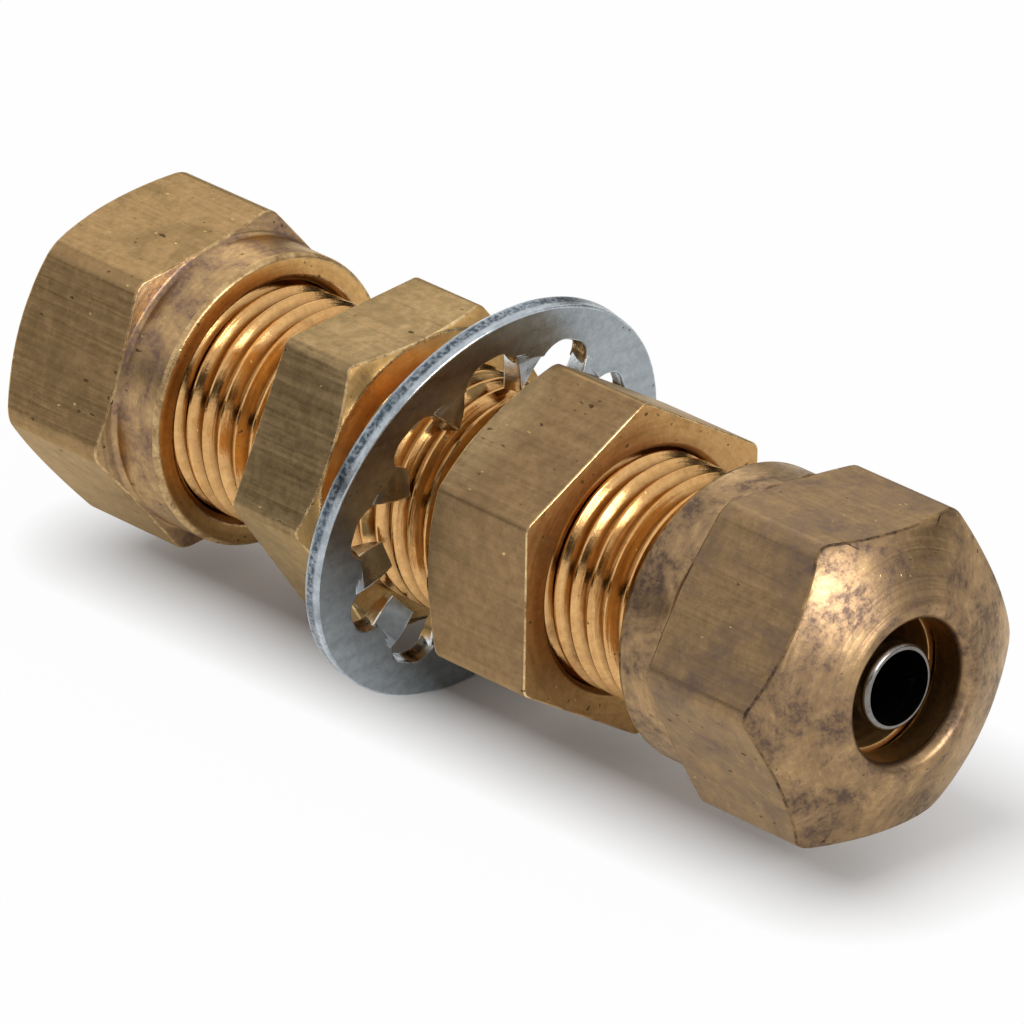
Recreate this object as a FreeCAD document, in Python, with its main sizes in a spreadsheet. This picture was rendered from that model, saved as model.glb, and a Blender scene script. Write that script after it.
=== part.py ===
import FreeCAD, Part
import math
import os

import Sketcher
from FreeCAD import Vector

# Bulkhead compression union for a quarter-inch tube.
# Millimetres. The fitting's axis is X, and the panel seat of the body's hexagon is at x = 0.

SIZES = (
    ("thread_diameter", 11.11, "thread outside diameter"),
    ("thread_clearance", 0.1, "radial gap between thread and nut bores"),
    ("tube_diameter", 6.35, "tube outside diameter"),
    ("tube_clearance", 0.075, "radial gap round the tube"),
    ("hex_length", 4.8, "length of the body's hexagon"),
    ("hex_height", 1.345, "height of the body's flats above the thread"),
    ("hex_phase", 35.0, "turn of the body's hexagon, in degrees"),
    ("bevel_angle", 30.0, "bevel of the hexagon corners, in degrees"),
    ("shank_left", 11.45, "length of the short threaded shank"),
    ("shank_right", 24.65, "length of the long threaded shank"),
    ("engaged_length", 5.3, "thread inside each compression nut"),
    ("end_chamfer", 0.5, "chamfer on the thread ends"),
    ("thread_pitch", 1.0583, "pitch of the thread"),
    ("thread_depth", 0.4, "depth of the thread's grooves"),
    ("thread_relief", 0.35, "plain shank left next to the hexagon"),
    ("end_land", 0.35, "flat ring at the thread ends"),
    ("mouth_angle", 30.0, "half angle of the seat for the sleeve, in degrees"),
    ("socket_depth", 8.0, "depth of the tube socket"),
    ("skirt_wall", 1.345, "wall of the nut skirt round its bore"),
    ("skirt_length", 2.85, "length of the nut skirt"),
    ("flat_step", 0.14, "step from the nut skirt up to its flats"),
    ("nut_hex_length", 5.505, "length of the nut's blank between shoulder and nose"),
    ("shoulder_rise", 0.37, "length of the cone between skirt and hexagon"),
    ("nose_angle", 60.5, "half angle of the nut's conical nose, in degrees"),
    ("lip_radius", 0.6, "rounding of the nose lip"),
    ("rim_bevel", 0.4, "bevel of the skirt rim"),
    ("throat_clearance", 0.125, "radial gap between tube and nose hole"),
    ("throat_length", 1.365, "length of the nose hole behind its lip"),
    ("countersink", 0.3, "countersink of the nut bore"),
    ("corner_margin", 0.4, "blank left over the hexagon corners before the flats are cut"),
    ("nut_right_phase", 25.7, "turn of the right nut, in degrees"),
    ("nut_left_phase", 38.5, "turn of the left nut, in degrees"),
    ("sleeve_wall", 1.2, "wall of the sleeve"),
    ("sleeve_tip_wall", 0.3, "wall of the sleeve at both ends"),
    ("sleeve_entry", 0.8, "part of the sleeve inside the body's mouth"),
    ("sleeve_gap", 0.15, "axial gap between sleeve and nut"),
    ("tube_wall", 1.125, "wall of the tube, which the tube support fits"),
    ("support_wall", 0.3, "wall of the tube support"),
    ("support_bevel", 0.1, "lead-in bevel of the support's outer end"),
    ("support_inset", 0.85, "depth of the tube support inside the nose lip"),
    ("support_gap", 0.03, "radial gap round the support's spigot"),
    ("flange_gap", 0.1, "radial gap round the support's flange"),
    ("flange_thickness", 0.5, "thickness of that flange"),
    ("spigot_length", 3.0, "length of the support inside the flow bore"),
    ("locknut_gap", 7.15, "panel space between body seat and locknut"),
    ("locknut_thickness", 6.4, "thickness of the locknut"),
    ("locknut_wall", 1.345, "wall of the locknut at its flats"),
    ("locknut_countersink", 0.45, "countersink of the locknut bore"),
    ("locknut_phase", 58.8, "turn of the locknut, in degrees"),
    ("washer_station", 3.15, "middle of the washer from the body seat"),
    ("washer_tilt", 12.8, "lean of the loose washer, in degrees"),
    ("washer_phase", 28.5, "turn of the washer, in degrees"),
    ("washer_thickness", 0.9, "thickness of the washer"),
    ("washer_clearance", 0.34, "radial gap from thread to tooth tips, washer square on"),
    ("washer_rim", 1.75, "width of the washer's plain rim"),
    ("slot_depth", 0.9, "depth of the slots between the tooth roots"),
    ("slot_width", 2.35, "width of those slots"),
    ("slot_corner", 0.55, "rounding of the slot corners"),
    ("tooth_length", 1.55, "free length of a tooth"),
    ("tooth_root_width", 2.3, "width of a tooth at its root"),
    ("tooth_tip_width", 1.55, "width of a tooth at its tip"),
    ("tooth_inlay", 0.05, "how far the tooth's root lies under the washer's faces"),
    ("tooth_twist", 27.0, "twist of a tooth, in degrees"),
    ("tooth_count", 10, "teeth of the washer"),
)


class Dim:
    """A size that knows its number and the sheet expression behind it."""

    def __init__(self, value, text):
        self.value = float(value)
        self.text = text

    @staticmethod
    def of(other):
        return other if isinstance(other, Dim) else Dim(other, "%g" % other)

    def __add__(self, other):
        other = Dim.of(other)
        return Dim(self.value + other.value, "(%s + %s)" % (self.text, other.text))

    def __sub__(self, other):
        other = Dim.of(other)
        return Dim(self.value - other.value, "(%s - %s)" % (self.text, other.text))

    def __mul__(self, other):
        other = Dim.of(other)
        return Dim(self.value * other.value, "(%s * %s)" % (self.text, other.text))

    def __truediv__(self, other):
        other = Dim.of(other)
        return Dim(self.value / other.value, "(%s / %s)" % (self.text, other.text))

    def __neg__(self):
        return Dim(-self.value, "(0 - %s)" % self.text)


def tangent(angle):
    """Tangent of an angle that the sheet keeps in degrees."""
    return Dim(math.tan(math.radians(angle.value)), "tan(%s * 1 deg)" % angle.text)


def around(angle, reach):
    """The two legs of a reach that is turned by an angle in degrees."""
    turn = math.radians(angle.value)
    along = Dim(math.cos(turn), "cos(%s * 1 deg)" % angle.text)
    across = Dim(math.sin(turn), "sin(%s * 1 deg)" % angle.text)
    return reach * along, reach * across


def smaller(first, second):
    """The smaller of two sizes."""
    return Dim(min(first.value, second.value), "min(%s; %s)" % (first.text, second.text))


doc = FreeCAD.newDocument("bulkhead_union")
sheet = doc.addObject("Spreadsheet::Sheet", "sizes")
dims = {}
for row, (alias, number, meaning) in enumerate(SIZES, start=1):
    sheet.set("A%d" % row, meaning)
    sheet.set("B%d" % row, str(number))
    sheet.setAlias("B%d" % row, alias)
    dims[alias] = Dim(number, "sizes." + alias)
doc.recompute()

ZERO = Dim(0, "0")

# Radii and stations that follow from the sheet
thread_r = dims["thread_diameter"] / 2
bore_r = thread_r + dims["thread_clearance"]
socket_r = dims["tube_diameter"] / 2 + dims["tube_clearance"]
throat_r = dims["tube_diameter"] / 2 + dims["throat_clearance"]
support_r = dims["tube_diameter"] / 2 - dims["tube_wall"]
flow_r = support_r + dims["support_gap"]
mouth_r = thread_r - dims["end_chamfer"] - dims["end_land"]
mouth_depth = (mouth_r - socket_r) / tangent(dims["mouth_angle"])

right_end = dims["shank_right"]
left_end = -(dims["shank_left"] + dims["hex_length"])

skirt_r = bore_r + dims["skirt_wall"]
nut_flat_r = skirt_r + dims["flat_step"]
hex_flat_r = thread_r + dims["hex_height"]
locknut_flat_r = bore_r + dims["locknut_wall"]


def corner_radius(flat_radius):
    """Radius of the round blank that a hexagon is cut from."""
    return flat_radius / 0.8660254 + dims["corner_margin"]


# The nut's nose: a cone that runs smoothly into the rounded lip
nose_start = dims["skirt_length"] + dims["shoulder_rise"] + dims["nut_hex_length"]
lip_r = throat_r + dims["lip_radius"]
lip_start = Dim(90, "90") - dims["nose_angle"]
lip_step = (lip_start + 90) / 3
lip_along, lip_across = around(lip_start, dims["lip_radius"])
nose_drop = corner_radius(nut_flat_r) - lip_r - lip_across
nut_lip = nose_start + nose_drop / tangent(dims["nose_angle"]) - lip_along
nut_crown = nut_lip + dims["lip_radius"]
nut_cone_end = nut_lip - dims["throat_length"]
nut_bore_depth = nut_cone_end - bore_r + throat_r


def new_body(label):
    body = doc.addObject("PartDesign::Body", label)
    body.Label = label
    return body


def origin_part(body, role):
    return [part for part in body.Origin.OriginFeatures if part.Role == role][0]


def new_sketch(body, name, role):
    sketch = body.newObject("Sketcher::SketchObject", name)
    sketch.AttachmentSupport = [(origin_part(body, role), "")]
    sketch.MapMode = "FlatFace"
    return sketch


def constrain(sketch, kind, geometry, size):
    """Add a sized constraint and tie it to the sheet."""
    index = sketch.addConstraint(Sketcher.Constraint(kind, *geometry, size.value))
    sketch.setExpression("Constraints[%d]" % index, size.text)


def arc_between(start, end, radius):
    """Short arc between two points that bulges to the left of the way from end to start."""
    chord = end - start
    middle = (start + end) * 0.5
    side = Vector(chord.y, -chord.x, 0).normalize()
    reach = math.sqrt(radius * radius - chord.Length ** 2 / 4)
    centre = middle + side * reach
    circle = Part.Circle(centre, Vector(0, 0, 1), radius)
    first = math.atan2(end.y - centre.y, end.x - centre.x)
    last = math.atan2(start.y - centre.y, start.x - centre.x)
    return Part.ArcOfCircle(circle, first, last)


def draw_outline(sketch, corners):
    """Closed outline through corners (x, y), or (x, y, radius) where a round follows."""
    points = [Vector(corner[0].value, corner[1].value, 0) for corner in corners]
    heads = []
    tails = []
    for index, corner in enumerate(corners):
        start = points[index]
        end = points[(index + 1) % len(points)]
        if len(corner) == 2:
            sketch.addGeometry(Part.LineSegment(start, end))
            heads.append(1)
            tails.append(2)
        else:
            sketch.addGeometry(arc_between(start, end, corner[2].value))
            heads.append(2)
            tails.append(1)
    for index, corner in enumerate(corners):
        follower = (index + 1) % len(corners)
        sketch.addConstraint(
            Sketcher.Constraint("Coincident", index, tails[index], follower, heads[follower])
        )
        if len(corner) == 3:
            constrain(sketch, "Radius", (index,), corner[2])
        constrain(sketch, "DistanceX", (-1, 1, index, heads[index]), corner[0])
        constrain(sketch, "DistanceY", (-1, 1, index, heads[index]), corner[1])


def draw_circle(sketch, radius):
    index = sketch.addGeometry(Part.Circle(Vector(0, 0, 0), Vector(0, 0, 1), radius.value))
    sketch.addConstraint(Sketcher.Constraint("Coincident", index, 3, -1, 1))
    constrain(sketch, "Radius", (index,), radius)


def draw_hexagon(sketch, flat_radius, phase):
    """Regular hexagon about the origin, one corner turned by the phase from the vertical."""
    reach = flat_radius.value / 0.8660254
    corners = []
    for step in range(6):
        angle = math.radians(90.0 + phase.value + 60.0 * step)
        corners.append(Vector(reach * math.cos(angle), reach * math.sin(angle), 0))
    first = sketch.GeometryCount
    for step in range(6):
        sketch.addGeometry(Part.LineSegment(corners[step], corners[(step + 1) % 6]))
    ring = sketch.addGeometry(Part.Circle(Vector(0, 0, 0), Vector(0, 0, 1), reach), True)
    spoke = sketch.addGeometry(Part.LineSegment(Vector(0, 0, 0), corners[0]), True)
    sketch.addConstraint(Sketcher.Constraint("Coincident", ring, 3, -1, 1))
    for step in range(6):
        line = first + step
        following = first + (step + 1) % 6
        sketch.addConstraint(Sketcher.Constraint("Coincident", line, 2, following, 1))
        sketch.addConstraint(Sketcher.Constraint("PointOnObject", line, 1, ring))
        if step:
            sketch.addConstraint(Sketcher.Constraint("Equal", first, line))
    sketch.addConstraint(Sketcher.Constraint("Coincident", spoke, 1, -1, 1))
    sketch.addConstraint(Sketcher.Constraint("Coincident", spoke, 2, first, 1))
    constrain(sketch, "Radius", (ring,), flat_radius / 0.8660254)
    index = sketch.addConstraint(
        Sketcher.Constraint("Angle", -1, 1, spoke, 1, math.radians(90.0 + phase.value))
    )
    sketch.setExpression("Constraints[%d]" % index, "(90 + %s) * 1 deg" % phase.text)


def revolve(body, name, corners):
    sketch = new_sketch(body, name + "_section", "XY_Plane")
    draw_outline(sketch, corners)
    feature = body.newObject("PartDesign::Revolution", name)
    feature.Profile = sketch
    feature.ReferenceAxis = (sketch, ["H_Axis"])
    feature.Angle = 360
    doc.recompute()
    return feature


def cut_flats(body, name, flat_radius, phase):
    """Cut a round blank down to its hexagon."""
    sketch = new_sketch(body, name + "_plan", "YZ_Plane")
    draw_circle(sketch, corner_radius(flat_radius) + dims["corner_margin"])
    draw_hexagon(sketch, flat_radius, phase)
    feature = body.newObject("PartDesign::Pocket", name)
    feature.Profile = sketch
    feature.Type = "ThroughAll"
    feature.SideType = "Symmetric"
    doc.recompute()
    return feature


def place(body, x, yaw="0", pitch="0", roll="0"):
    turn = "rotation(%s; %s; %s)" % (yaw, pitch, roll)
    body.setExpression("Placement", "placement(vector(%s; 0; 0); %s)" % (x.text, turn))
    doc.recompute()


def ridges(start, length):
    """Grooves of a thread as rings, one to each pitch of a stretch of shank."""
    pitch = dims["thread_pitch"]
    corners = []
    for turn in range(int(length.value / pitch.value)):
        begin = start + pitch * turn
        corners.append((begin, thread_r))
        corners.append((begin + pitch / 2, thread_r - dims["thread_depth"]))
    corners.append((start + pitch * int(length.value / pitch.value), thread_r))
    return corners


def make_union_body():
    body = new_body("union_body")
    hex_start = dims["shank_left"]
    hex_end = hex_start + dims["hex_length"]
    end = hex_end + dims["shank_right"]
    blank_r = corner_radius(hex_flat_r)
    bevel = (blank_r - hex_flat_r) * tangent(dims["bevel_angle"])
    chamfer = dims["end_chamfer"]
    depth = dims["socket_depth"]
    relief = dims["thread_relief"]
    locknut_end = hex_end + dims["locknut_gap"] + dims["locknut_thickness"]
    # The thread shows where no nut covers it: what lies inside the nuts stays plain
    corners = [
        (ZERO, mouth_r),
        (ZERO, thread_r - chamfer),
        (chamfer, thread_r),
        *ridges(dims["engaged_length"], hex_start - dims["engaged_length"] - relief),
        (hex_start, thread_r),
        (hex_start, blank_r),
        (hex_end - bevel, blank_r),
        (hex_end, hex_flat_r),
        (hex_end, thread_r),
        *ridges(hex_end + relief, dims["locknut_gap"] - relief),
        *ridges(locknut_end, end - dims["engaged_length"] - locknut_end),
        (end - chamfer, thread_r),
        (end, thread_r - chamfer),
        (end, mouth_r),
        (end - mouth_depth, socket_r),
        (end - depth, socket_r),
        (end - depth, flow_r),
        (depth, flow_r),
        (depth, socket_r),
        (mouth_depth, socket_r),
    ]
    revolve(body, "union_blank", corners)
    cut_flats(body, "union_flats", hex_flat_r, dims["hex_phase"])
    place(body, left_end)
    return body


def make_nut(label, phase, x, yaw):
    body = new_body(label)
    blank_r = corner_radius(nut_flat_r)
    skirt = dims["skirt_length"]
    sink = dims["countersink"]
    rim = smaller(dims["rim_bevel"], (dims["skirt_wall"] - sink) * 0.6)
    corners = [
        (ZERO, bore_r + sink),
        (ZERO, skirt_r - rim),
        (rim, skirt_r),
        (skirt, skirt_r),
        (skirt + dims["shoulder_rise"], blank_r),
        (nose_start, blank_r),
    ]
    for step in range(3):
        along, across = around(lip_start - lip_step * step, dims["lip_radius"])
        corners.append((nut_lip + along, lip_r + across))
    corners += [
        (nut_lip, throat_r),
        (nut_cone_end, throat_r),
        (nut_bore_depth, bore_r),
        (sink, bore_r),
    ]
    revolve(body, label + "_blank", corners)
    cut_flats(body, label + "_flats", nut_flat_r, phase)
    place(body, x, yaw)
    return body


def make_sleeve(label, x, yaw):
    """Sleeve with its inner end at local x = 0 and both ends tapered."""
    body = new_body(label)
    outer_r = socket_r + dims["sleeve_wall"]
    tip_r = socket_r + dims["sleeve_tip_wall"]
    taper = (outer_r - tip_r) / tangent(dims["mouth_angle"])
    cone_station = nut_bore_depth + bore_r - dims["engaged_length"] - dims["sleeve_gap"]
    shoulder = cone_station - outer_r + dims["sleeve_entry"]
    length = cone_station - tip_r + dims["sleeve_entry"]
    corners = [
        (ZERO, socket_r),
        (ZERO, tip_r),
        (taper, outer_r),
        (shoulder, outer_r),
        (length, tip_r),
        (length, socket_r),
    ]
    revolve(body, label + "_ring", corners)
    place(body, x, yaw)
    return body


def make_support(label, x, yaw):
    """Tube support with the flange's inner face at local x = 0."""
    body = new_body(label)
    inner_r = support_r - dims["support_wall"]
    bevel = smaller(dims["support_bevel"], dims["support_wall"] * 0.4)
    reach = dims["socket_depth"] - dims["engaged_length"] + nut_crown - dims["support_inset"]
    flange_r = socket_r - dims["flange_gap"]
    corners = [
        (-dims["spigot_length"], inner_r),
        (-dims["spigot_length"], support_r),
        (ZERO, support_r),
        (ZERO, flange_r),
        (dims["flange_thickness"], flange_r),
        (dims["flange_thickness"], support_r),
        (reach - bevel, support_r),
        (reach, support_r - bevel),
        (reach, inner_r),
    ]
    revolve(body, label + "_tube", corners)
    place(body, x, yaw)
    return body


def make_locknut():
    body = new_body("locknut")
    blank_r = corner_radius(locknut_flat_r)
    bevel = (blank_r - locknut_flat_r) * tangent(dims["bevel_angle"])
    thickness = dims["locknut_thickness"]
    sink = dims["locknut_countersink"]
    corners = [
        (ZERO, bore_r + sink),
        (ZERO, locknut_flat_r),
        (bevel, blank_r),
        (thickness, blank_r),
        (thickness, bore_r + sink),
        (thickness - sink, bore_r),
        (sink, bore_r),
    ]
    revolve(body, "locknut_blank", corners)
    cut_flats(body, "locknut_flats", locknut_flat_r, dims["locknut_phase"])
    place(body, dims["locknut_gap"])
    return body


def draw_block(sketch, height, width):
    half = height / 2
    side = width / 2
    draw_outline(sketch, [(-half, -side), (half, -side), (half, side), (-half, side)])


def offset_sketch(sketch, height, turn=None):
    """Lift a sketch off its plane and turn it about its own normal."""
    sketch.AttachmentOffset = FreeCAD.Placement(Vector(0, 0, height.value), FreeCAD.Rotation())
    angle = turn.text if turn else "0"
    text = "placement(vector(0; 0; %s); rotation(%s; 0; 0))" % (height.text, angle)
    sketch.setExpression("AttachmentOffset", text)


def repeat_round(body, name, feature):
    """Repeat a feature round the washer's axis."""
    pattern = body.newObject("PartDesign::PolarPattern", name)
    pattern.Originals = [feature]
    pattern.Axis = (origin_part(body, "X_Axis"), [""])
    pattern.Angle = 360
    pattern.Occurrences = int(dims["tooth_count"].value)
    pattern.setExpression("Occurrences", "sizes.tooth_count")
    body.Tip = pattern
    doc.recompute()
    return pattern


def make_washer():
    body = new_body("lock_washer")
    tip_r = thread_r + dims["washer_clearance"]
    land_r = tip_r + dims["tooth_length"]
    root_r = land_r + dims["slot_depth"]
    rim_r = root_r + dims["washer_rim"]

    sketch = new_sketch(body, "washer_plan", "YZ_Plane")
    draw_circle(sketch, rim_r)
    draw_circle(sketch, land_r)
    ring = body.newObject("PartDesign::Pad", "washer_ring")
    ring.Profile = sketch
    ring.SideType = "Symmetric"
    ring.Length = dims["washer_thickness"].value
    ring.setExpression("Length", dims["washer_thickness"].text)
    doc.recompute()

    # Slot between two teeth, half a pitch round from the vertical
    half = dims["slot_width"] / 2
    corner = dims["slot_corner"]
    sketch = new_sketch(body, "slot_plan", "YZ_Plane")
    half_pitch = Dim(180, "180") / dims["tooth_count"]
    offset_sketch(sketch, ZERO, half_pitch)
    draw_outline(sketch, [
        (-half, tip_r),
        (-half, root_r - corner, corner),
        (-half + corner, root_r),
        (half - corner, root_r, corner),
        (half, root_r - corner),
        (half, tip_r),
    ])
    slot = body.newObject("PartDesign::Pocket", "slot")
    slot.Profile = sketch
    slot.Type = "ThroughAll"
    slot.SideType = "Symmetric"
    doc.recompute()
    repeat_round(body, "slots", slot)

    root = new_sketch(body, "tooth_root", "XY_Plane")
    root_height = dims["washer_thickness"] - dims["tooth_inlay"]
    draw_block(root, root_height, dims["tooth_root_width"])
    offset_sketch(root, land_r + dims["slot_depth"] / 2)
    tip = new_sketch(body, "tooth_tip", "XY_Plane")
    draw_block(tip, root_height, dims["tooth_tip_width"])
    offset_sketch(tip, tip_r, dims["tooth_twist"])
    tooth = body.newObject("PartDesign::AdditiveLoft", "tooth")
    tooth.Profile = root
    tooth.Sections = [tip]
    tooth.Ruled = True
    doc.recompute()
    repeat_round(body, "teeth", tooth)
    place(body, dims["washer_station"], "0", "sizes.washer_tilt", "sizes.washer_phase")
    return body


nut_right_x = right_end - dims["engaged_length"]
nut_left_x = left_end + dims["engaged_length"]

make_union_body()
make_nut("nut_right", dims["nut_right_phase"], nut_right_x, "0")
make_nut("nut_left", -dims["nut_left_phase"], nut_left_x, "180")
make_sleeve("sleeve_right", right_end - dims["sleeve_entry"], "0")
make_sleeve("sleeve_left", left_end + dims["sleeve_entry"], "180")
make_support("support_right", right_end - dims["socket_depth"], "0")
make_support("support_left", left_end + dims["socket_depth"], "180")
make_locknut()
make_washer()
doc.recompute()

# Every feature must be sound before anything is written
for item in doc.Objects:
    if "Invalid" in item.State or "Error" in item.State:
        raise RuntimeError("feature failed: " + item.Name)

os.makedirs("parts", exist_ok=True)
for item in doc.Objects:
    if item.TypeId != "PartDesign::Body":
        continue
    if item.Shape.isNull() or not item.Shape.isValid() or len(item.Shape.Solids) != 1:
        raise RuntimeError("bad solid: " + item.Label)
    item.Shape.exportStep("parts/%s.step" % item.Label)
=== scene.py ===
"""Bulkhead compression union: threaded brass body, two domed nuts, locknut and toothed washer."""

import logging
import math
from abc import ABC, abstractmethod
from collections.abc import Callable
from dataclasses import dataclass, field
from enum import Enum
from typing import Any

import bpy
from bpy.types import Material, Node, NodeSocket, NodeTree, Object
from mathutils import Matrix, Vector


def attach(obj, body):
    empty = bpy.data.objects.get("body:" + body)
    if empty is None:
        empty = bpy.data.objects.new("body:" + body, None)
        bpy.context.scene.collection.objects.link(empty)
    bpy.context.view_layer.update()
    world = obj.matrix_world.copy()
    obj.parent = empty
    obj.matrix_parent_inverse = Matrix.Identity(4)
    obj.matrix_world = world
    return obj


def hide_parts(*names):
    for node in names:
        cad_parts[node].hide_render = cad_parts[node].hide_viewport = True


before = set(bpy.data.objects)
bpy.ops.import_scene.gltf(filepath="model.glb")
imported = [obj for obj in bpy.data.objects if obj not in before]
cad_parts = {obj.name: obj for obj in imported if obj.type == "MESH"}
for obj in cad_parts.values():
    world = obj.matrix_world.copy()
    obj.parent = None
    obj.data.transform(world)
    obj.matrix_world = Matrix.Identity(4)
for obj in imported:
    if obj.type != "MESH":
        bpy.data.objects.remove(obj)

LOG = logging.getLogger("bulkhead_union")
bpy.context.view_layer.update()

Point = tuple[float, float]
Triple = tuple[float, float, float]
Colour = tuple[float, float, float, float]
Value = float | tuple[float, ...] | NodeSocket
Sockets = dict[str | int, Value]
Scatter = tuple[NodeSocket, NodeSocket, NodeSocket]

# Pieces are drawn in millimetres and brought to metres when they are finished
METRE = 0.001
WELD = 1e-4
CLEAN_UP = 20.0 * WELD
CUT_REACH = 1e-5
SQRT3 = math.sqrt(3.0)
ORIGIN: Triple = (0.0, 0.0, 0.0)

# Sizes that are used more than once; a skim is a step too small to see
TURN_STEPS = 96
NUT_STEPS = 128
NUT_BORE = 5.655
BLANK_SPARE = 0.4
BEVEL_ANGLE = 30.0
SKIM = 0.02
WASHER_STATION = 3.15
WASHER_TILT = 12.8

# Lean of a face, as a share of its normal, past which it is another surface
LEVEL = 0.05
END_LEAN = 0.3

# Spans of a noise's tone and of a mask
NOISE_SPAN: Point = (0.34, 0.66)
RISING: Point = (0.0, 1.0)
FALLING: Point = (1.0, 0.0)


class Cut(Enum):
    """How a tool solid acts on a piece."""

    JOIN = "UNION"
    TAKE_OFF = "DIFFERENCE"
    KEEP_COMMON = "INTERSECT"


class Grain(Enum):
    """Which way the fine lines of a metal surface run, as the stretch of their noise."""

    DRAWN = (0.03, 1.0, 1.0)
    TURNED = (1.0, 1.0, 0.03)
    ROLLED = (1.0, 0.1, 0.6)


class Facing(Enum):
    """The surfaces of a piece that are finished apart, as material indices."""

    FLAT = 0
    TURNED = 1
    EDGE = 2
    INSIDE = 3
    THREAD = 4


@dataclass(frozen=True)
class Facet:
    """Where one face of a piece lies and which way it looks."""

    station: float
    radius: float
    along: float
    outward: float


Surface = Facing | Callable[[Facet], Facing | None]


def srgb(red: int, green: int, blue: int) -> Colour:
    """Turn a colour as seen, in 0 to 255, into the linear colour that nodes take.

    Args:
        red: Red as seen.
        green: Green as seen.
        blue: Blue as seen.

    Returns:
        The linear colour with full alpha.
    """
    levels = []
    for level in (red, green, blue):
        share = level / 255.0
        levels.append(share / 12.92 if share <= 0.04045 else ((share + 0.055) / 1.055) ** 2.4)
    return (levels[0], levels[1], levels[2], 1.0)


def arc(centre: Point, radius: float, first: float, last: float, steps: int) -> list[Point]:
    """Points of a round in a turned outline.

    Args:
        centre: Station and radius of the round's middle.
        radius: Radius of the round.
        first: Angle where it begins, in degrees from the axis direction.
        last: Angle where it ends.
        steps: Number of straight steps.

    Returns:
        The points from first to last.
    """
    points = []
    for step in range(steps + 1):
        turn = math.radians(first + (last - first) * step / steps)
        points.append((centre[0] + radius * math.cos(turn), centre[1] + radius * math.sin(turn)))
    return points


def crowned(start: Point, end: Point, rise: float, steps: int) -> list[Point]:
    """Points of a slightly bulging line, without its two ends.

    Args:
        start: First end.
        end: Second end.
        rise: Height of the bulge at the middle.
        steps: Number of straight steps.

    Returns:
        The points between the ends.
    """
    run = (end[0] - start[0], end[1] - start[1])
    length = math.hypot(*run)
    normal = (-run[1] / length, run[0] / length)
    points = []
    for step in range(1, steps):
        share = step / steps
        lift = rise * 4.0 * share * (1.0 - share)
        x = start[0] + run[0] * share + normal[0] * lift
        y = start[1] + run[1] * share + normal[1] * lift
        points.append((x, y))
    return points


def blank_radius(flats: float) -> float:
    """Radius of the turned blank that a hexagon is cut from."""
    return flats / SQRT3 + BLANK_SPARE


def bevel_run(flats: float) -> float:
    """Length of the bevel on a hexagon's end, out to the blank's radius."""
    return (blank_radius(flats) - flats / 2.0) * math.tan(math.radians(BEVEL_ANGLE))


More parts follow.
